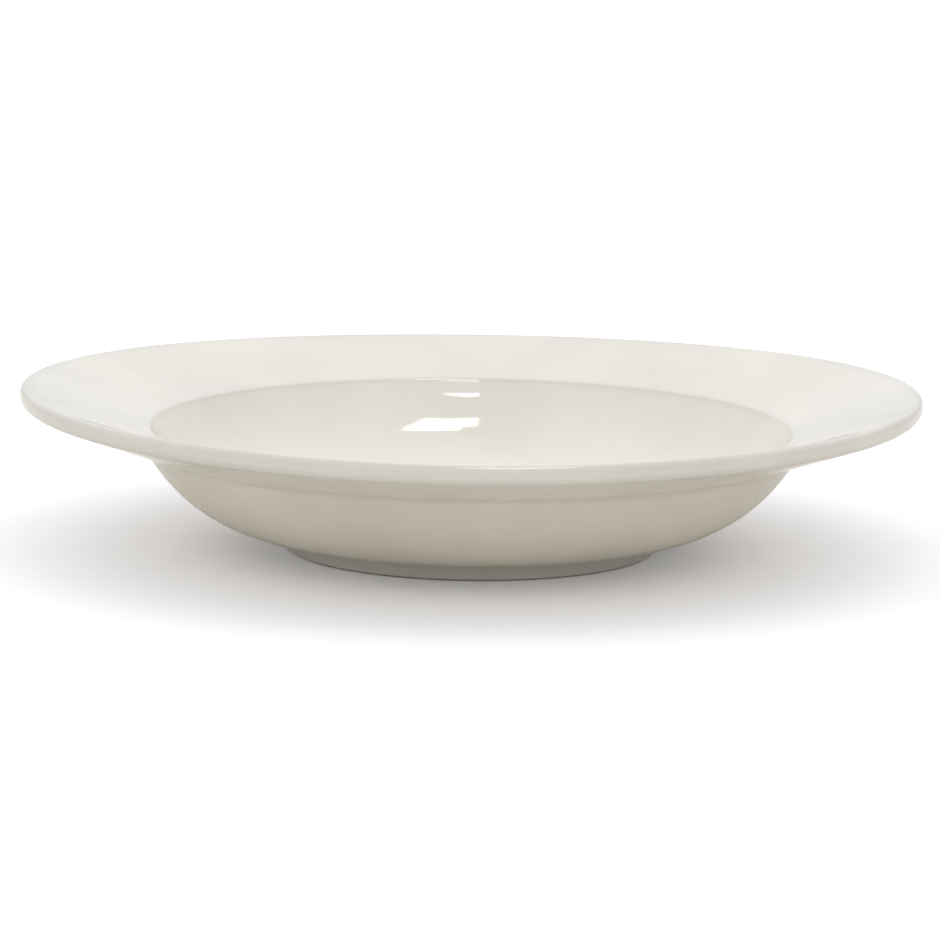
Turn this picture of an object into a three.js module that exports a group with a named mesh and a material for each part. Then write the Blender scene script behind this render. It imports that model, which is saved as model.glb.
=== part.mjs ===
// A deep plate: a wide-rimmed stoneware dish with a bowl-shaped well, turned in one piece on a low foot ring.
// The clay is glazed all over except the ring that it stands on, so its pieces are the clay and two skins of glaze.
// Millimetres, +Z up. The origin is on the plate's axis, level with the standing ring.
import * as THREE from 'three';

// Rim and lip, on the glazed surface
const RIM_DIAMETER = 250;
const HEIGHT = 44.2; // crest of the lip above the standing ring
const LIP_CREST_RADIUS = 1.6;
const LIP_FACE_HEIGHT = 1.2; // upright stretch between the crest and the under round
const LIP_UNDER_RADIUS = 2.1;
const RIM_ROOT_THICKNESS = 5.7; // where the rim leaves the wall
const UNDER_RIM_RADIUS = 6.5;

// Well and wall, on the glazed surface
const WELL_DIAMETER = 179.6; // at the edge where the rim turns down into the well
const WELL_EDGE_HEIGHT = 34.3;
const WELL_EDGE_RADIUS = 2.5;
const WALL_ANGLE = 58.5; // degrees from level, at the top of the wall
const WALL_THICKNESS = 4.5;
const FLOOR_HEIGHT = 8.3;
const FLOOR_RADIUS = 40; // of the level middle of the floor
const WALL_FULLNESS = 0.95; // how far the well's curve follows the wall towards the corner it would make with the floor
const FLOOR_FULLNESS = 0.5; // and how far it follows the floor

// Foot ring and base
const FOOT_DIAMETER = 103.3; // outside of the glazed foot, at its lower edge
const FOOT_DRAFT = 14.5; // degrees that the foot's outside leans from upright
const STANDING_WIDTH = 4.4; // width of the ring, between the corners that its edges round off
const STANDING_EDGE_RADIUS = 0.7;
const FOOT_INNER_DRAFT = 20;
const BASE_RECESS = 2.6; // glazed base above the standing ring
const BASE_CORNER_RADIUS = 2;

// Glaze
const GLAZE_THICKNESS = 0.35;
const GLAZE_BOND = 0.02; // hairline between the glaze and the clay that it is fused to
const GLAZE_LINE = 0.6; // height at which the glaze stops, outside and inside the foot

// Steps round the plate and along each stretch of its profile
const TURN_STEPS = 48;
const WELL_STEPS = 9;
const OUTER_WALL_STEPS = 7;
const EDGE_STEPS = 3;
const CREST_STEPS = 5;
const UNDER_LIP_STEPS = 3;
const STANDING_EDGE_STEPS = 2;

const CLAY_COLOUR = '#c3b199';
const GLAZE_COLOUR = '#ebe6db';

const point = (radius, height) => new THREE.Vector2(radius, height);
const radians = THREE.MathUtils.degToRad;
const heading = (angle) => point(Math.cos(angle), Math.sin(angle));
const along = (start, direction, length) => start.clone().addScaledVector(direction, length);
const toHeight = (start, direction, height) => along(start, direction, (height - start.y) / direction.y);
const airSide = (direction) => point(-direction.y, direction.x); // left of the way the profile runs

// Angle of the line from a point that touches a circle, over it (side 1) or under it (side -1)
function tangentAngle(start, centre, radius, side) {
  const reach = centre.clone().sub(start);
  return reach.angle() + side * Math.asin(radius / reach.length());
}

// Where two lines cross, each given by a point and a direction
function crossing(start, direction, otherStart, otherDirection) {
  const gap = otherStart.clone().sub(start);
  return along(start, direction, gap.cross(otherDirection) / direction.cross(otherDirection));
}

function arc(centre, radius, fromAngle, toAngle, steps) {
  return Array.from({ length: steps + 1 }, (_, i) =>
    along(centre, heading(THREE.MathUtils.lerp(fromAngle, toAngle, i / steps)), radius));
}

// How far a round of this radius reaches back from the corner where the profile turns between two directions
function roundReach(incoming, outgoing, radius) {
  return radius * Math.tan(incoming.angleTo(outgoing) / 2);
}

function roundedCorner(corner, incoming, outgoing, radius, steps) {
  const turn = Math.sign(incoming.cross(outgoing));
  const start = along(corner, incoming, -roundReach(incoming, outgoing, radius));
  const centre = along(start, airSide(incoming), turn * radius);
  const fromAngle = start.clone().sub(centre).angle();
  return arc(centre, radius, fromAngle, fromAngle + turn * incoming.angleTo(outgoing), steps);
}

// The profile moved sideways by a distance, to its air side if positive; a point on the axis stays on it
function shifted(profile, distance) {
  return profile.map((here, i) => {
    const before = profile[i - 1];
    const after = profile[i + 1];
    const ways = [before && here.clone().sub(before), after && after.clone().sub(here)].filter(Boolean);
    const sides = ways.map((way) => airSide(way.normalize()));
    const side = sides.reduce((sum, other) => sum.clone().add(other)).normalize();
    const moved = along(here, side, distance / side.dot(sides[0]));
    return here.x === 0 ? point(0, here.y + distance * Math.sign(sides[0].y)) : moved;
  });
}

// Lip: a crest and an under round, with an upright face between them at the rim's widest point
const rimRadius = RIM_DIAMETER / 2;
const crestCentre = point(rimRadius - LIP_CREST_RADIUS, HEIGHT - LIP_CREST_RADIUS);
const underCentre = point(rimRadius - LIP_UNDER_RADIUS, crestCentre.y - LIP_FACE_HEIGHT);

// Rim: its top runs straight from the well's edge to the crest, its underside from the root to the under round
const wellEdge = point(WELL_DIAMETER / 2, WELL_EDGE_HEIGHT);
const rimTopAngle = tangentAngle(wellEdge, crestCentre, LIP_CREST_RADIUS, 1);
const rimTop = heading(rimTopAngle);
const rimRoot = along(wellEdge, airSide(rimTop), -RIM_ROOT_THICKNESS);
const underRimAngle = tangentAngle(rimRoot, underCentre, LIP_UNDER_RADIUS, -1);
const underRim = heading(underRimAngle).negate(); // inwards, the way the profile runs there

// Wall: straight at the top, parallel inside and outside, as far down as the round under the rim reaches
const wallUp = heading(radians(WALL_ANGLE));
const wallDown = wallUp.clone().negate();
const outerWallTop = along(wellEdge, airSide(wallUp), -WALL_THICKNESS);
const underRimCorner = crossing(outerWallTop, wallDown, rimRoot, underRim);
const wallStraight = underRimCorner.distanceTo(outerWallTop) + roundReach(underRim, wallDown, UNDER_RIM_RADIUS);

// Well: one curve from the level floor into the straight of the wall
const floorEdge = point(FLOOR_RADIUS, FLOOR_HEIGHT);
const curveTop = along(wellEdge, wallDown, wallStraight);
const wellCorner = toHeight(curveTop, wallDown, FLOOR_HEIGHT);
const wellCurve = new THREE.CubicBezierCurve(
  floorEdge,
  floorEdge.clone().lerp(wellCorner, FLOOR_FULLNESS),
  curveTop.clone().lerp(wellCorner, WALL_FULLNESS),
  curveTop,
);

// Outside of the wall: the well's curve at the wall's thickness, down to the leaning side of the foot
const footDown = heading(radians(-90 - FOOT_DRAFT));
const footEdge = point(FOOT_DIAMETER / 2, 0);
const outerWallAt = (t) =>
  along(wellCurve.getPoint(t), airSide(wellCurve.getTangent(t)), -WALL_THICKNESS);
const beyondFoot = (t) => outerWallAt(t).x - toHeight(footEdge, footDown, outerWallAt(t).y).x;

function halve(test, low, high) {
  const FINE_ENOUGH = 1e-9;
  const middle = (low + high) / 2;
  if (high - low < FINE_ENOUGH) return middle;
  return test(middle) > 0 ? halve(test, low, middle) : halve(test, middle, high);
}

const footCorner = halve(beyondFoot, 0, 1);
const outerWall = Array.from({ length: OUTER_WALL_STEPS + 1 }, (_, i) =>
  outerWallAt(THREE.MathUtils.lerp(1, footCorner, i / OUTER_WALL_STEPS)));

// The glazed surface from the middle of the well, over the rim and lip, down to the glaze line on the foot
const lipTurn = [
  ...arc(crestCentre, LIP_CREST_RADIUS, rimTopAngle + Math.PI / 2, 0, CREST_STEPS),
  ...arc(underCentre, LIP_UNDER_RADIUS, 0, underRimAngle - Math.PI / 2, UNDER_LIP_STEPS),
];
const coatSurface = [
  point(0, FLOOR_HEIGHT),
  ...wellCurve.getPoints(WELL_STEPS),
  ...roundedCorner(wellEdge, wallUp, rimTop, WELL_EDGE_RADIUS, EDGE_STEPS),
  ...lipTurn,
  ...roundedCorner(underRimCorner, underRim, wallDown, UNDER_RIM_RADIUS, EDGE_STEPS).slice(0, -1),
  ...outerWall,
  toHeight(footEdge, footDown, GLAZE_LINE),
];
const coatBack = shifted(coatSurface, -GLAZE_THICKNESS);
const clayUnderCoat = shifted(coatSurface, -GLAZE_THICKNESS - GLAZE_BOND);

// The bare ring that the plate stands on
const inwards = point(-1, 0);
const outerCorner = toHeight(clayUnderCoat.at(-1), footDown, 0);
const innerCorner = along(outerCorner, inwards, STANDING_WIDTH);
const footUp = heading(radians(90 + FOOT_INNER_DRAFT));
const standingRing = [
  ...roundedCorner(outerCorner, footDown, inwards, STANDING_EDGE_RADIUS, STANDING_EDGE_STEPS),
  ...roundedCorner(innerCorner, inwards, footUp, STANDING_EDGE_RADIUS, STANDING_EDGE_STEPS),
];

// The recessed base inside the foot, from the glaze line to the axis
const clayBase = BASE_RECESS + GLAZE_THICKNESS + GLAZE_BOND;
const clayOverBase = [
  toHeight(innerCorner, footUp, GLAZE_LINE),
  ...roundedCorner(toHeight(innerCorner, footUp, clayBase), footUp, inwards, BASE_CORNER_RADIUS, EDGE_STEPS),
  point(0, clayBase),
];
const baseBack = shifted(clayOverBase, GLAZE_BOND);
const baseSurface = shifted(clayOverBase, GLAZE_BOND + GLAZE_THICKNESS);

const claySolid = [...clayUnderCoat, ...standingRing, ...clayOverBase];
const coatSkin = [...coatSurface, ...coatBack.toReversed()];
const baseSkin = [...baseBack.toReversed(), ...baseSurface];

const plate = new THREE.Group();
plate.rotation.x = Math.PI / 2; // a lathe turns about Y, and the plate's axis is Z

function addTurned(name, profile, colour, roughness) {
  const geometry = new THREE.LatheGeometry(profile.toReversed(), TURN_STEPS);
  const material = new THREE.MeshStandardMaterial({ color: colour, roughness, metalness: 0 });
  const mesh = new THREE.Mesh(geometry, material);
  mesh.name = name;
  plate.add(mesh);
}

const BARE_ROUGHNESS = 0.85;
const GLAZED_ROUGHNESS = 0.12;
addTurned('clay_body', claySolid, CLAY_COLOUR, BARE_ROUGHNESS);
addTurned('glaze_coat', coatSkin, GLAZE_COLOUR, GLAZED_ROUGHNESS);
addTurned('base_glaze', baseSkin, GLAZE_COLOUR, GLAZED_ROUGHNESS);

export default plate;
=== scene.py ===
import math
import bpy
from mathutils import Matrix, Vector


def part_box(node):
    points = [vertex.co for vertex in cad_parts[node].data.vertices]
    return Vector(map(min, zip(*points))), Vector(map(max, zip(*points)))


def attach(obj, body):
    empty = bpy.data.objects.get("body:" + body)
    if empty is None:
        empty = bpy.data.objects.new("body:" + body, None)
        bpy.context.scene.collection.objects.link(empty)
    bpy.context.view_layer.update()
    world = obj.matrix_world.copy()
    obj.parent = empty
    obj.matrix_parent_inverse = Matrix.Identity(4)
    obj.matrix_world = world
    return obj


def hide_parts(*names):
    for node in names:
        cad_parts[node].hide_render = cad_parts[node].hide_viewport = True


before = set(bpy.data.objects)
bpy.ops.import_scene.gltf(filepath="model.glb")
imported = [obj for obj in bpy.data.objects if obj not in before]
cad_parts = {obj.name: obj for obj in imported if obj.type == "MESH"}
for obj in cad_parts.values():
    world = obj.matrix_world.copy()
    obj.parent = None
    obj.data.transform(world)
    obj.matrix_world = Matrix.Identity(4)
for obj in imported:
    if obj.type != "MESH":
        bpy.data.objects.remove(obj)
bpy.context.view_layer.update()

# Clay body
# One piece of cream stoneware, shaped on the wheel: a bowl-shaped well, its wall, a wide sloping rim and a foot ring.
# It is glazed all over except for the ring that it stands on, where the clay itself shows.
# Its profile is drawn over the glaze, as a plate is measured, and the clay lies one coat of glaze inside it.
RIM_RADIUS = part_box("glaze_coat")[1].x
LIP_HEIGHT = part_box("glaze_coat")[1].z
LIP_CREST_RADIUS = 0.0017
LIP_FACE_HEIGHT = 0.0010
LIP_UNDER_RADIUS = 0.0025
RIM_ROOT_THICKNESS = 0.0057
UNDER_RIM_RADIUS = 0.0065
WELL_RADIUS = 0.0898
WELL_EDGE_HEIGHT = 0.0343
WELL_EDGE_RADIUS = 0.0016
WALL_ANGLE = math.radians(58.5)
WALL_THICKNESS = 0.0045
FLOOR_HEIGHT = 0.0083
FLOOR_RADIUS = 0.040
WALL_FULLNESS = 0.95
FLOOR_FULLNESS = 0.5
CURVE_RISE = 0.0011
FOOT_RADIUS = 0.05165
FOOT_DRAFT = math.radians(14.5)
FOOT_CORNER_RADIUS = 0.0012
STANDING_WIDTH = 0.0044
STANDING_EDGE_RADIUS = 0.0007
FOOT_INNER_DRAFT = math.radians(20)
BASE_RECESS = 0.0026
BASE_CORNER_RADIUS = 0.002
GLAZE_THICKNESS = 0.00035
GLAZE_BOND = 0.00002
GLAZE_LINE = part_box("glaze_coat")[0].z
ROW_SPACING = 0.004
FEWEST_ROWS = 4
ROUND_STEP = math.radians(6)
CURVE_STEPS = 30
HIDDEN_ROW_SHARE = 5
SAME_PLACE = 1e-7


def heading(angle):
    return Vector((math.cos(angle), math.sin(angle)))


def air_side(direction):
    return Vector((-direction.y, direction.x))


def turn_between(incoming, outgoing):
    return math.atan2(incoming.x * outgoing.y - incoming.y * outgoing.x, incoming.dot(outgoing))


def to_height(start, direction, height):
    return start + direction * ((height - start.y) / direction.y)


def crossing(start, direction, other_start, other_direction):
    side = air_side(other_direction)
    return start + direction * ((other_start - start).dot(side) / direction.dot(side))


def touching_angle(start, centre, radius, side):
    reach = centre - start
    return math.atan2(reach.y, reach.x) + side * math.asin(radius / reach.length)


def straight(start, end):
    rows = FEWEST_ROWS + round((end - start).length / ROW_SPACING)
    return [start.lerp(end, (1 - math.cos(math.pi * row / rows)) / 2) for row in range(rows + 1)]


def arc(centre, radius, start_angle, sweep, step_angle=ROUND_STEP):
    steps = math.ceil(abs(sweep) / step_angle)
    return [centre + heading(start_angle + sweep * step / steps) * radius for step in range(steps + 1)]


def rounded_corner(corner, incoming, outgoing, radius):
    turn = turn_between(incoming, outgoing)
    start = corner - incoming * radius * math.tan(abs(turn) / 2)
    out_of_corner = air_side(incoming) * math.copysign(1, turn)
    from_centre = -out_of_corner
    return arc(start + out_of_corner * radius, radius, math.atan2(from_centre.y, from_centre.x), turn)


def joined(*stretches):
    points = []
    for stretch in stretches:
        points += [here for here in stretch if not points or (here - points[-1]).length > SAME_PLACE]
    return points


def shifted(points, distance):
    moved = []
    for here, before, after in zip(points, points[:1] + points[:-1], points[1:] + points[-1:]):
        sides = [air_side(way.normalized()) for way in (here - before, after - here) if way.length > 0]
        side = sum(sides, Vector((0, 0))).normalized()
        step = side * (distance / side.dot(sides[0]))
        moved.append(here + (Vector((0, step.y)) if here.x == 0 else step))
    return moved


crest_centre = Vector((RIM_RADIUS - LIP_CREST_RADIUS, LIP_HEIGHT - LIP_CREST_RADIUS))
under_centre = Vector((RIM_RADIUS - LIP_UNDER_RADIUS, crest_centre.y - LIP_FACE_HEIGHT))
well_edge = Vector((WELL_RADIUS, WELL_EDGE_HEIGHT))
rim_top_angle = touching_angle(well_edge, crest_centre, LIP_CREST_RADIUS, 1)
rim_top = heading(rim_top_angle)
rim_root = well_edge - air_side(rim_top) * RIM_ROOT_THICKNESS
under_rim_angle = touching_angle(rim_root, under_centre, LIP_UNDER_RADIUS, -1)
under_rim = -heading(under_rim_angle)

wall_up = heading(WALL_ANGLE)
outer_wall_top = well_edge - air_side(wall_up) * WALL_THICKNESS
under_rim_corner = crossing(outer_wall_top, -wall_up, rim_root, under_rim)
under_rim_round = rounded_corner(under_rim_corner, under_rim, -wall_up, UNDER_RIM_RADIUS)
curve_top = under_rim_round[-1] + air_side(wall_up) * WALL_THICKNESS + wall_up * CURVE_RISE
floor_edge = Vector((FLOOR_RADIUS, FLOOR_HEIGHT))
well_corner = to_height(curve_top, wall_up, FLOOR_HEIGHT)
floor_pull = floor_edge.lerp(well_corner, FLOOR_FULLNESS)
wall_pull = curve_top.lerp(well_corner, WALL_FULLNESS)


def well_curve(share):
    rest = 1 - share
    return (floor_edge * rest ** 3 + floor_pull * (3 * rest ** 2 * share)
            + wall_pull * (3 * rest * share ** 2) + curve_top * share ** 3)


well_wall = [well_curve(step / CURVE_STEPS) for step in range(CURVE_STEPS + 1)]
foot_down = heading(-math.pi / 2 - FOOT_DRAFT)
foot_edge = Vector((FOOT_RADIUS, 0))
wall_over_foot = [here for here in reversed(shifted(well_wall, -WALL_THICKNESS))
                  if here.x > to_height(foot_edge, foot_down, here.y).x]
wall_end = wall_over_foot[-1] - wall_over_foot[-2]
foot_corner = crossing(wall_over_foot[-1], wall_end, foot_edge, foot_down)
foot_corner_round = rounded_corner(foot_corner, wall_end.normalized(), foot_down, FOOT_CORNER_RADIUS)
outer_wall = [here for here in wall_over_foot if under_rim_round[-1].y > here.y > foot_corner_round[0].y]

crest_turn = arc(crest_centre, LIP_CREST_RADIUS, rim_top_angle + math.pi / 2, -rim_top_angle - math.pi / 2)
under_turn = arc(under_centre, LIP_UNDER_RADIUS, 0, under_rim_angle - math.pi / 2)
well_edge_round = rounded_corner(well_edge, wall_up, rim_top, WELL_EDGE_RADIUS)
glazed_profile = joined(
    straight(Vector((0, FLOOR_HEIGHT)), floor_edge),
    well_wall,
    straight(well_wall[-1], well_edge_round[0]),
    well_edge_round,
    straight(well_edge_round[-1], crest_turn[0]),
    crest_turn,
    under_turn,
    straight(under_turn[-1], under_rim_round[0]),
    under_rim_round,
    outer_wall,
    foot_corner_round,
    straight(foot_corner_round[-1], to_height(foot_edge, foot_down, GLAZE_LINE)),
)
fused_profile = glazed_profile[:1] + glazed_profile[1:-1:HIDDEN_ROW_SHARE] + glazed_profile[-1:]
clay_under_coat = shifted(fused_profile, -GLAZE_THICKNESS - GLAZE_BOND)

inwards = Vector((-1, 0))
outer_corner = to_height(clay_under_coat[-1], foot_down, 0)
inner_corner = outer_corner + inwards * STANDING_WIDTH
foot_up = heading(math.pi / 2 + FOOT_INNER_DRAFT)
clay_base = BASE_RECESS + GLAZE_THICKNESS + GLAZE_BOND
base_corner_round = rounded_corner(to_height(inner_corner, foot_up, clay_base), foot_up, inwards, BASE_CORNER_RADIUS)
clay_over_base = joined(
    [to_height(inner_corner, foot_up, GLAZE_LINE)],
    base_corner_round,
    straight(base_corner_round[-1], Vector((0, clay_base))),
)
clay_profile = joined(
    clay_under_coat,
    rounded_corner(outer_corner, foot_down, inwards, STANDING_EDGE_RADIUS),
    rounded_corner(inner_corner, inwards, foot_up, STANDING_EDGE_RADIUS),
    clay_over_base,
)


def plug(tree, value, socket):
    if isinstance(value, bpy.types.NodeSocket):
        tree.links.new(value, socket)
    else:
        socket.default_value = value


def add_node(tree, kind, **inputs):
    node = tree.nodes.new(kind)
    for label, value in inputs.items():
        plug(tree, value, node.inputs[label.replace("_", " ")])
    return node


def maths(tree, operation, *values):
    node = tree.nodes.new("ShaderNodeMath")
    node.operation = operation
    for value, socket in zip(values, node.inputs):
        plug(tree, value, socket)
    return node.outputs["Value"]


def vector_maths(tree, operation, first, second):
    node = tree.nodes.new("ShaderNodeVectorMath")
    node.operation = operation
    plug(tree, first, node.inputs[0])
    plug(tree, second, node.inputs["Scale"] if operation == "SCALE" else node.inputs[1])
    return node.outputs["Value"] if operation in ("DOT_PRODUCT", "LENGTH") else node.outputs["Vector"]


LIFT_MIDDLE = 0.5
STEADY_HEIGHT = 0.01
SEAM_GAP = 2e-6
wheel = bpy.data.node_groups.new("turned_on_the_wheel", "GeometryNodeTree")
wheel.is_modifier = True
for label, kind in (
    ("Profile", "NodeSocketGeometry"),
    ("Steps", "NodeSocketInt"),
    ("Rim Start", "NodeSocketFloat"),
    ("Rim End", "NodeSocketFloat"),
    ("Kiln Warp", "NodeSocketFloat"),
    ("Front Lift", "NodeSocketFloat"),
    ("Oval", "NodeSocketFloat"),
    ("Warp Turn", "NodeSocketFloat"),
    ("Unevenness", "NodeSocketFloat"),
    ("Unevenness Scale", "NodeSocketFloat"),
    ("Seed", "NodeSocketInt"),
    ("Finish", "NodeSocketMaterial"),
):
    wheel.interface.new_socket(label, in_out="INPUT", socket_type=kind)
wheel.interface.new_socket("Piece", in_out="OUTPUT", socket_type="NodeSocketGeometry")
given = wheel.nodes.new("NodeGroupInput").outputs
profile_size = add_node(wheel, "GeometryNodeAttributeDomainSize", Geometry=given["Profile"])
columns = maths(wheel, "ADD", given["Steps"], 1)
sheet = add_node(wheel, "GeometryNodeMeshGrid", Vertices_X=profile_size.outputs["Point Count"], Vertices_Y=columns)

number = wheel.nodes.new("GeometryNodeInputIndex").outputs["Index"]
row = maths(wheel, "FLOOR", maths(wheel, "DIVIDE", maths(wheel, "ADD", number, 0.5), columns))
column = maths(wheel, "SUBTRACT", number, maths(wheel, "MULTIPLY", row, columns))
angle = maths(wheel, "MULTIPLY", maths(wheel, "DIVIDE", column, given["Steps"]), 2 * math.pi)
profile_point = wheel.nodes.new("GeometryNodeSampleIndex")
profile_point.data_type = "FLOAT_VECTOR"
plug(wheel, given["Profile"], profile_point.inputs["Geometry"])
plug(wheel, wheel.nodes.new("GeometryNodeInputPosition").outputs["Position"], profile_point.inputs["Value"])
plug(wheel, row, profile_point.inputs["Index"])
profile_parts = add_node(wheel, "ShaderNodeSeparateXYZ", Vector=profile_point.outputs["Value"])
radius = profile_parts.outputs["X"]
height = profile_parts.outputs["Z"]

rim_width = maths(wheel, "SUBTRACT", given["Rim End"], given["Rim Start"])
rim_reach = maths(wheel, "DIVIDE", maths(wheel, "SUBTRACT", radius, given["Rim Start"]), rim_width)
rim_share = maths(wheel, "MAXIMUM", rim_reach, 0)
warp_angle = maths(wheel, "MULTIPLY", maths(wheel, "SUBTRACT", angle, given["Warp Turn"]), 2)
warp_swing = maths(wheel, "MULTIPLY", rim_share, maths(wheel, "COSINE", warp_angle))
front_share = maths(wheel, "SUBTRACT", LIFT_MIDDLE, maths(wheel, "SINE", angle))
lift_share = maths(wheel, "MULTIPLY", rim_share, front_share)
warped_height = maths(wheel, "MULTIPLY_ADD", given["Kiln Warp"], warp_swing, height)
fired_height = maths(wheel, "MULTIPLY_ADD", given["Front Lift"], lift_share, warped_height)
fired_radius = maths(wheel, "ADD", radius, maths(wheel, "MULTIPLY", given["Oval"], warp_swing))
turned_point = add_node(
    wheel, "ShaderNodeCombineXYZ",
    X=maths(wheel, "MULTIPLY", fired_radius, maths(wheel, "COSINE", angle)),
    Y=maths(wheel, "MULTIPLY", fired_radius, maths(wheel, "SINE", angle)),
    Z=fired_height,
).outputs["Vector"]

hand = wheel.nodes.new("ShaderNodeTexNoise")
hand.noise_dimensions = "4D"
plug(wheel, turned_point, hand.inputs["Vector"])
plug(wheel, given["Seed"], hand.inputs["W"])
plug(wheel, given["Unevenness Scale"], hand.inputs["Scale"])
plug(wheel, 0.0, hand.inputs["Detail"])
both_ways = vector_maths(wheel, "SUBTRACT", hand.outputs["Color"], (0.5, 0.5, 0.5))
off_ground = maths(wheel, "MINIMUM", maths(wheel, "DIVIDE", height, STEADY_HEIGHT), 1)
hand_slip = vector_maths(wheel, "SCALE", both_ways, maths(wheel, "MULTIPLY", given["Unevenness"], off_ground))

depth_and_shade_here = wheel.nodes.new("GeometryNodeInputNamedAttribute")
depth_and_shade_here.data_type = "FLOAT"
plug(wheel, "glaze_depth_and_shade", depth_and_shade_here.inputs["Name"])
profile_depth_and_shade = wheel.nodes.new("GeometryNodeSampleIndex")
profile_depth_and_shade.data_type = "FLOAT"
plug(wheel, given["Profile"], profile_depth_and_shade.inputs["Geometry"])
plug(wheel, depth_and_shade_here.outputs["Attribute"], profile_depth_and_shade.inputs["Value"])
plug(wheel, row, profile_depth_and_shade.inputs["Index"])

depth_and_shade_kept = add_node(wheel, "GeometryNodeStoreNamedAttribute", Geometry=sheet.outputs["Mesh"], Name="glaze_depth_and_shade",
                      Value=profile_depth_and_shade.outputs["Value"])
shaped = add_node(wheel, "GeometryNodeSetPosition", Geometry=depth_and_shade_kept.outputs["Geometry"], Position=turned_point,
                  Offset=hand_slip)
closed = add_node(wheel, "GeometryNodeMergeByDistance", Geometry=shaped.outputs["Geometry"], Distance=SEAM_GAP)
smooth = add_node(wheel, "GeometryNodeSetShadeSmooth", Geometry=closed.outputs["Geometry"])
real = add_node(wheel, "GeometryNodeRealizeInstances", Geometry=smooth.outputs["Geometry"])
finished = add_node(wheel, "GeometryNodeSetMaterial", Geometry=real.outputs["Geometry"], Material=given["Finish"])
add_node(wheel, "NodeGroupOutput", Piece=finished.outputs["Geometry"])

WHEEL_SETTINGS = {
    "Steps": 420,
    "Rim Start": WELL_RADIUS,
    "Rim End": RIM_RADIUS,
    "Kiln Warp": 0.00115,
    "Front Lift": 0.0005,
    "Oval": 0.0008,
    "Warp Turn": math.radians(2.8),
    "Unevenness": 0.0002,
    "Unevenness Scale": 14.0,
    "Seed": 7,
}


def turned(name, profile, depths, finish):
    outline = bpy.data.meshes.new(name)
    outline.from_pydata([(here.x, 0, here.y) for here in profile],
                        [(step, step + 1) for step in range(len(profile) - 1)], [])
    outline.attributes.new("glaze_depth_and_shade", "FLOAT", "POINT").data.foreach_set("value", depths)
    piece = bpy.data.objects.new(name, outline)
    bpy.context.scene.collection.objects.link(piece)
    turning = piece.modifiers.new("turning", "NODES")
    turning.node_group = wheel
    for socket in wheel.interface.items_tree:
        if socket.name in WHEEL_SETTINGS:
            turning[socket.identifier] = WHEEL_SETTINGS[socket.name]
        if socket.name == "Finish":
            turning[socket.identifier] = finish
    shown = piece.evaluated_get(bpy.context.evaluated_depsgraph_get())
    mesh = bpy.data.meshes.new_from_object(shown)
    piece.modifiers.remove(turning)
    piece.data = mesh
    bpy.data.meshes.remove(outline)
    mesh.name = name
    return piece


def blend(tree, share, first, second):
    node = tree.nodes.new("ShaderNodeMix")
    node.data_type = "RGBA"
    plug(tree, share, node.inputs["Factor"])
    colours = [socket for socket in node.inputs if socket.type == "RGBA"]
    plug(tree, first, colours[0])
    plug(tree, second, colours[1])
    return next(socket for socket in node.outputs if socket.type == "RGBA")


def grouped(tree, group, **inputs):
    node = tree.nodes.new("ShaderNodeGroup")
    node.node_tree = group
    for label, value in inputs.items():
        plug(tree, value, node.inputs[label.replace("_", " ")])
    return node.outputs[0]


MOTTLE_DETAIL = 3.0
MOTTLE_LOW = 0.3
MOTTLE_HIGH = 0.7
mottle = bpy.data.node_groups.new("mottle", "ShaderNodeTree")
mottle.interface.new_socket("Place", in_out="INPUT", socket_type="NodeSocketVector")
mottle.interface.new_socket("Patches Per Metre", in_out="INPUT", socket_type="NodeSocketFloat")
mottle.interface.new_socket("Mottle", in_out="OUTPUT", socket_type="NodeSocketFloat")
mottle_given = mottle.nodes.new("NodeGroupInput").outputs
mottle_noise = add_node(mottle, "ShaderNodeTexNoise", Vector=mottle_given["Place"], Detail=MOTTLE_DETAIL,
                        Scale=mottle_given["Patches Per Metre"])
mottle_spread = add_node(mottle, "ShaderNodeMapRange", Value=mottle_noise.outputs["Fac"], From_Min=MOTTLE_LOW,
                         From_Max=MOTTLE_HIGH)
add_node(mottle, "NodeGroupOutput", Mottle=mottle_spread.outputs["Result"])

DRIFTS_PER_METRE = 9.0
DRIFT_DETAIL = 1.0
rings = bpy.data.node_groups.new("throwing_rings", "ShaderNodeTree")
rings.interface.new_socket("Place", in_out="INPUT", socket_type="NodeSocketVector")
rings.interface.new_socket("Rings Per Metre", in_out="INPUT", socket_type="NodeSocketFloat")
rings.interface.new_socket("Wander", in_out="INPUT", socket_type="NodeSocketFloat")
rings.interface.new_socket("Height", in_out="OUTPUT", socket_type="NodeSocketFloat")
rings_given = rings.nodes.new("NodeGroupInput").outputs
rings_level = vector_maths(rings, "MULTIPLY", rings_given["Place"], (1, 1, 0))
rings_radius = vector_maths(rings, "LENGTH", rings_level, (0, 0, 0))
rings_drift = add_node(rings, "ShaderNodeTexNoise", Vector=rings_given["Place"], Scale=DRIFTS_PER_METRE,
                       Detail=DRIFT_DETAIL)
rings_reach = maths(rings, "MULTIPLY_ADD", rings_drift.outputs["Fac"], rings_given["Wander"], rings_radius)
rings_noise = rings.nodes.new("ShaderNodeTexNoise")
rings_noise.noise_dimensions = "1D"
plug(rings, rings_reach, rings_noise.inputs["W"])
plug(rings, rings_given["Rings Per Metre"], rings_noise.inputs["Scale"])
plug(rings, 0.0, rings_noise.inputs["Detail"])
add_node(rings, "NodeGroupOutput", Height=rings_noise.outputs["Fac"])

# The clay colours are set darker than the clay alone, as painted shade for the dark contact line under the foot ring.
PALE_CLAY_AND_SHADE = (0.44, 0.36, 0.26, 1)
BROWN_CLAY_AND_SHADE = (0.30, 0.23, 0.15, 1)
CLAY_PATCHES = 70.0
CLAY_GRAINS = 1500.0
CLAY_GRAIN_DEPTH = 0.00006
CLAY_RELIEF = 0.8
GRAIN_TONE = 0.45
PATCH_TONE = 0.55
CLAY_ROUGHNESS = 0.78
CLAY_ROUGHNESS_SPREAD = 0.15

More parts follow.
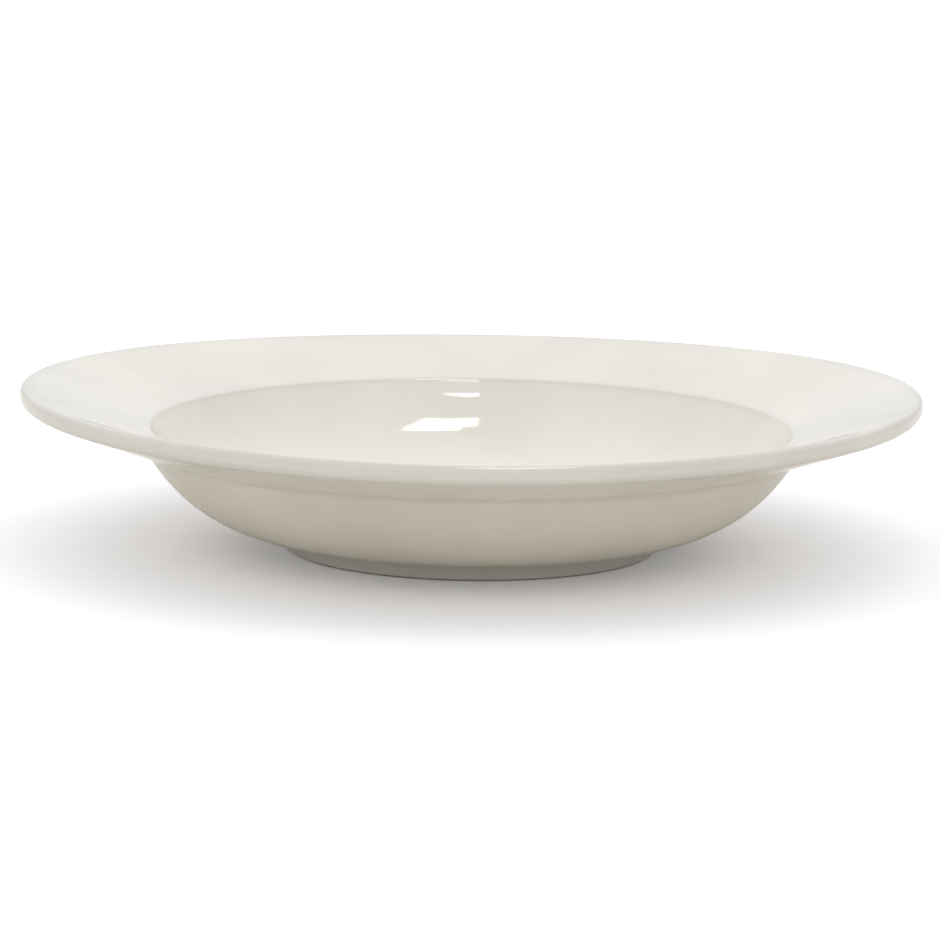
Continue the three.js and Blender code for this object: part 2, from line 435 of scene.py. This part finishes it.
clay = bpy.data.materials.new("bare_stoneware")
clay.use_nodes = True
clay_tree = clay.node_tree
clay_place = clay_tree.nodes.new("ShaderNodeTexCoord").outputs["Object"]
clay_shader = clay_tree.nodes["Principled BSDF"]
clay_patch = grouped(clay_tree, mottle, Place=clay_place, Patches_Per_Metre=CLAY_PATCHES)
clay_grain = grouped(clay_tree, mottle, Place=clay_place, Patches_Per_Metre=CLAY_GRAINS)
clay_patch_tone = maths(clay_tree, "MULTIPLY", clay_patch, PATCH_TONE)
clay_tone = maths(clay_tree, "MULTIPLY_ADD", clay_grain, GRAIN_TONE, clay_patch_tone)
plug(clay_tree, blend(clay_tree, clay_tone, PALE_CLAY_AND_SHADE, BROWN_CLAY_AND_SHADE), clay_shader.inputs["Base Color"])
plug(clay_tree, maths(clay_tree, "MULTIPLY_ADD", clay_grain, CLAY_ROUGHNESS_SPREAD, CLAY_ROUGHNESS),
     clay_shader.inputs["Roughness"])
clay_relief = add_node(clay_tree, "ShaderNodeBump", Height=clay_grain, Distance=CLAY_GRAIN_DEPTH,
                       Strength=CLAY_RELIEF)
plug(clay_tree, clay_relief.outputs["Normal"], clay_shader.inputs["Normal"])

clay_piece = turned("clay_ring_and_body", clay_profile, [0.0] * len(clay_profile), clay)
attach(clay_piece, "root")
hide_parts("clay_body")

# Glaze coat
# A glossy ivory glaze, poured over the well, the rim and the outside, and fired until it fused to the clay.
# It draws thin over the lip and the well's edge, where its colour is darker, and pools in the well. On the lip this
# darkening is also painted shade. On the foot it is given a darker colour, and it stops there in a soft bead so that
# the plate wouldn't stick to the kiln shelf.
BEAD_RADIUS = GLAZE_THICKNESS / 2
BEAD_STEP = math.radians(30)
# Convex bends get a thinner, darker glaze colour; on the lip face this darkening is also painted shade.
EDGE_REACH = 0.0015
EDGE_THINNING_AND_SHADE_PER_BEND = 0.26
POOL_REACH = 0.016
POOL_HEIGHT = 0.02
DEPTH_PER_POOL_BEND = 0.5
EVEN_DEPTH = 0.5
WELL_EXTRA_DEPTH = 0.2
# The foot and the hidden back of the coat take this low depth, so the foot shows a darker colour.
FOOT_AND_BACK_DEPTH = 0.2
THICK_GLAZE = (0.80, 0.765, 0.687, 1)
THIN_GLAZE_AND_SHADE = (0.585, 0.566, 0.532, 1)
GLAZE_PATCHES = 26.0
GLAZE_FLECKS = 240.0
PATCH_STRENGTH = 0.35
MIDDLE_MOTTLE = 0.5
GLAZE_INDEX = 1.5
GLAZE_ROUGHNESS = 0.04
ROUGHNESS_SPREAD = 0.04
RINGS_PER_METRE = 210.0
RING_WANDER = 0.006
RING_RELIEF = 0.000006
SKIN_RELIEF = 0.000003

glaze = bpy.data.materials.new("ivory_glaze")
glaze.use_nodes = True
glaze_tree = glaze.node_tree
glaze_place = glaze_tree.nodes.new("ShaderNodeTexCoord").outputs["Object"]
glaze_shader = glaze_tree.nodes["Principled BSDF"]
glaze_patch = grouped(glaze_tree, mottle, Place=glaze_place, Patches_Per_Metre=GLAZE_PATCHES)
glaze_fleck = grouped(glaze_tree, mottle, Place=glaze_place, Patches_Per_Metre=GLAZE_FLECKS)
glaze_ring = grouped(glaze_tree, rings, Place=glaze_place, Rings_Per_Metre=RINGS_PER_METRE, Wander=RING_WANDER)
glaze_depth_and_shade = glaze_tree.nodes.new("ShaderNodeAttribute")
glaze_depth_and_shade.attribute_name = "glaze_depth_and_shade"
glaze_unevenness = maths(glaze_tree, "SUBTRACT", glaze_patch, MIDDLE_MOTTLE)
glaze_swing = maths(glaze_tree, "MULTIPLY", glaze_unevenness, PATCH_STRENGTH)
glaze_share = maths(glaze_tree, "ADD", glaze_depth_and_shade.outputs["Fac"], glaze_swing)
plug(glaze_tree, blend(glaze_tree, glaze_share, THIN_GLAZE_AND_SHADE, THICK_GLAZE), glaze_shader.inputs["Base Color"])
plug(glaze_tree, maths(glaze_tree, "MULTIPLY_ADD", glaze_fleck, ROUGHNESS_SPREAD, GLAZE_ROUGHNESS),
     glaze_shader.inputs["Roughness"])
plug(glaze_tree, GLAZE_INDEX, glaze_shader.inputs["IOR"])
ring_relief = add_node(glaze_tree, "ShaderNodeBump", Height=glaze_ring, Distance=RING_RELIEF, Strength=1.0)
skin_relief = add_node(glaze_tree, "ShaderNodeBump", Height=glaze_fleck, Distance=SKIN_RELIEF, Strength=1.0,
                       Normal=ring_relief.outputs["Normal"])
plug(glaze_tree, skin_relief.outputs["Normal"], glaze_shader.inputs["Normal"])


# Glaze depth for each profile point: thinning at convex bends (on the lip also painted shade) and pooling at concave
# ones.
def depths_and_shade_over(points):
    bends = [0.0]
    bends += [turn_between(here - before, after - here) for before, here, after in zip(points, points[1:], points[2:])]
    bends.append(0.0)
    depths = []
    for here in points:
        depth_and_shade = EVEN_DEPTH
        for bend, there in zip(bends, points):
            distance = (here - there).length
            depth_and_shade += EDGE_THINNING_AND_SHADE_PER_BEND * bend * math.exp(-(distance / EDGE_REACH) ** 2)
            if bend > 0 and there.y < POOL_HEIGHT:
                depth_and_shade += DEPTH_PER_POOL_BEND * bend * math.exp(-(distance / POOL_REACH) ** 2)
        depths.append(min(max(depth_and_shade, 0), 1))
    return depths


coat_depths_and_shade = depths_and_shade_over(glazed_profile)
well_rows = glazed_profile.index(well_edge_round[0])
coat_depths_and_shade[:well_rows] = [min(depth_and_shade + WELL_EXTRA_DEPTH, 1) for depth_and_shade in coat_depths_and_shade[:well_rows]]
floor_rows = sum(here.x < FLOOR_RADIUS for here in glazed_profile[:well_rows])
coat_depths_and_shade[:floor_rows] = [coat_depths_and_shade[floor_rows]] * floor_rows
foot_rows = len(glazed_profile) - glazed_profile.index(foot_corner_round[len(foot_corner_round) // 2])
coat_depths_and_shade[-foot_rows:] = [FOOT_AND_BACK_DEPTH] * foot_rows
bead_centre = glazed_profile[-1] - air_side(foot_down) * BEAD_RADIUS
bead = arc(bead_centre, BEAD_RADIUS, math.atan2(foot_down.y, foot_down.x) + math.pi / 2, -math.pi, BEAD_STEP)
coat_back = shifted(fused_profile, -GLAZE_THICKNESS)
coat_profile = joined(glazed_profile, bead, coat_back[::-1])
coat_depths_and_shade += [FOOT_AND_BACK_DEPTH] * (len(coat_profile) - len(coat_depths_and_shade))
coat_piece = turned("glaze_over_plate", coat_profile, coat_depths_and_shade, glaze)
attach(coat_piece, "root")
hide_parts("glaze_coat")

# Base glaze
# The same glaze on the hollow base inside the foot ring, cut off from the rest by the bare ring.
base_back = shifted(clay_over_base, GLAZE_BOND)
base_face = shifted(clay_over_base, GLAZE_BOND + GLAZE_THICKNESS)
base_profile = joined(base_back[::-1], base_face)
base_piece = turned("glaze_inside_foot", base_profile, [EVEN_DEPTH] * len(base_profile), glaze)
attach(base_piece, "root")
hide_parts("base_glaze")

# Floor
# A wide white tabletop with no edge in view.
FLOOR_REACH = 8.0
floor_mesh = bpy.data.meshes.new("white_table")
floor_mesh.from_pydata([(-FLOOR_REACH, -FLOOR_REACH, 0), (FLOOR_REACH, -FLOOR_REACH, 0),
                        (FLOOR_REACH, FLOOR_REACH, 0), (-FLOOR_REACH, FLOOR_REACH, 0)], [], [(0, 1, 2, 3)])
table = bpy.data.objects.new("white_table", floor_mesh)
bpy.context.scene.collection.objects.link(table)
# To the camera the table is painted whiter than the light it throws back, and it glows a little: painted light that
# lifts its shadow, though it is no lamp for the plate.
SEEN_WHITE = (0.95, 0.96, 1.0, 1)
BOUNCED_WHITE = (0.865, 0.838, 0.80, 1)
SEEN_PAINTED_GLOW = 0.1
table_paint = bpy.data.materials.new("white_table_with_painted_glow")
table_paint.use_nodes = True
table_tree = table_paint.node_tree
table_shader = table_tree.nodes["Principled BSDF"]
seen = table_tree.nodes.new("ShaderNodeLightPath").outputs["Is Camera Ray"]
plug(table_tree, blend(table_tree, seen, BOUNCED_WHITE, SEEN_WHITE), table_shader.inputs["Base Color"])
plug(table_tree, 1.0, table_shader.inputs["Roughness"])
plug(table_tree, 0.0, table_shader.inputs["Specular IOR Level"])
plug(table_tree, (1, 1, 1, 1), table_shader.inputs["Emission Color"])
plug(table_tree, maths(table_tree, "MULTIPLY", seen, SEEN_PAINTED_GLOW), table_shader.inputs["Emission Strength"])
floor_mesh.materials.append(table_paint)

# Lights
# A white studio tent that glows from all round, with two lit panels overhead, each cut to the shape of
# its reflection in the well. The panels are brighter in reflections than as lamps, so that shadows stay soft.
LOW = 0.25
HIGH = 1.2
GLOW_SPREAD = 3.0
TENT_GLOWS = (
    (Vector((0, 1, LOW)), 0.65),
    (Vector((0, 1, HIGH)), 0.60),
    (Vector((-1, 1, LOW)), 0.05),
    (Vector((1, 1, LOW)), 0.1),
    (Vector((0, -1, LOW)), 1.27),
    (Vector((-1, 0, LOW)), 0.74),
    (Vector((-1, 0, HIGH)), 0.67),
    (Vector((1, 0, LOW)), 0.40),
    (Vector((1, 0, HIGH)), 0.84),
)
studio = bpy.data.worlds.new("white_studio")
studio.use_nodes = True
sky = studio.node_tree
sky_glow = sky.nodes["Background"]
sky_way = sky.nodes.new("ShaderNodeTexCoord").outputs["Generated"]
sky_strength = 0.0
for glow_way, glow in TENT_GLOWS:
    facing = vector_maths(sky, "DOT_PRODUCT", sky_way, glow_way.normalized())
    lobe = maths(sky, "POWER", maths(sky, "MAXIMUM", facing, 0), GLOW_SPREAD)
    sky_strength = maths(sky, "MULTIPLY_ADD", lobe, glow, sky_strength)
plug(sky, sky_strength, sky_glow.inputs["Strength"])
plug(sky, (1, 1, 1, 1), sky_glow.inputs["Color"])
bpy.context.scene.world = studio

PANEL_HEIGHT = 1.2
PANEL_GLOW = 2.0
MIRRORED_GLOW = 15.0
OVERHEAD_CORNERS = ((0.252, -0.272), (0.317, -0.011), (0.05, -0.063), (0.048, -0.133), (-0.031, -0.159),
                    (-0.034, -0.311))
FRONT_CORNERS = ((0.205, -0.715), (0.155, -0.68), (-0.05, -0.675), (-0.05, -0.735))


def glowing_panel(name, corners):
    panel_mesh = bpy.data.meshes.new(name)
    panel_mesh.from_pydata([(x, y, PANEL_HEIGHT) for x, y in corners], [], [list(range(len(corners)))])
    panel = bpy.data.objects.new(name, panel_mesh)
    bpy.context.scene.collection.objects.link(panel)
    cloth = bpy.data.materials.new(name)
    cloth.use_nodes = True
    cloth_tree = cloth.node_tree
    cloth_tree.nodes.clear()
    mirrored = cloth_tree.nodes.new("ShaderNodeLightPath").outputs["Is Glossy Ray"]
    strength = maths(cloth_tree, "MULTIPLY_ADD", mirrored, MIRRORED_GLOW - PANEL_GLOW, PANEL_GLOW)
    shine = add_node(cloth_tree, "ShaderNodeEmission", Strength=strength, Color=(1, 1, 1, 1))
    add_node(cloth_tree, "ShaderNodeOutputMaterial", Surface=shine.outputs["Emission"])
    panel_mesh.materials.append(cloth)
    panel.visible_camera = False


glowing_panel("overhead_panel", OVERHEAD_CORNERS)
glowing_panel("front_panel", FRONT_CORNERS)

# Camera
# A long lens, a little above the rim.
PICTURE_WIDTH = 940
PICTURE_HEIGHT = 941
SENSOR = 36.0
FOCAL_PIXELS = 4992.2
LOOK_AT = Vector((-0.000173, 0, 0.02174))
LOOK_DOWN = math.radians(9.643)
ROLL = math.radians(0.84)
CAMERA_DISTANCE = 1.4
LENS_REACH = 100
lens = bpy.data.cameras.new("photo_camera")
lens.sensor_width = SENSOR
lens.lens = FOCAL_PIXELS * SENSOR / max(PICTURE_WIDTH, PICTURE_HEIGHT)
lens.clip_end = LENS_REACH
camera = bpy.data.objects.new("photo_camera", lens)
bpy.context.scene.collection.objects.link(camera)
camera_place = LOOK_AT + Vector((0, -math.cos(LOOK_DOWN), math.sin(LOOK_DOWN))) * CAMERA_DISTANCE
camera.matrix_world = (Matrix.Translation(camera_place) @ Matrix.Rotation(math.pi / 2 - LOOK_DOWN, 4, "X")
                       @ Matrix.Rotation(ROLL, 4, "Z"))
bpy.context.scene.camera = camera
bpy.context.scene.view_settings.view_transform = "Standard"
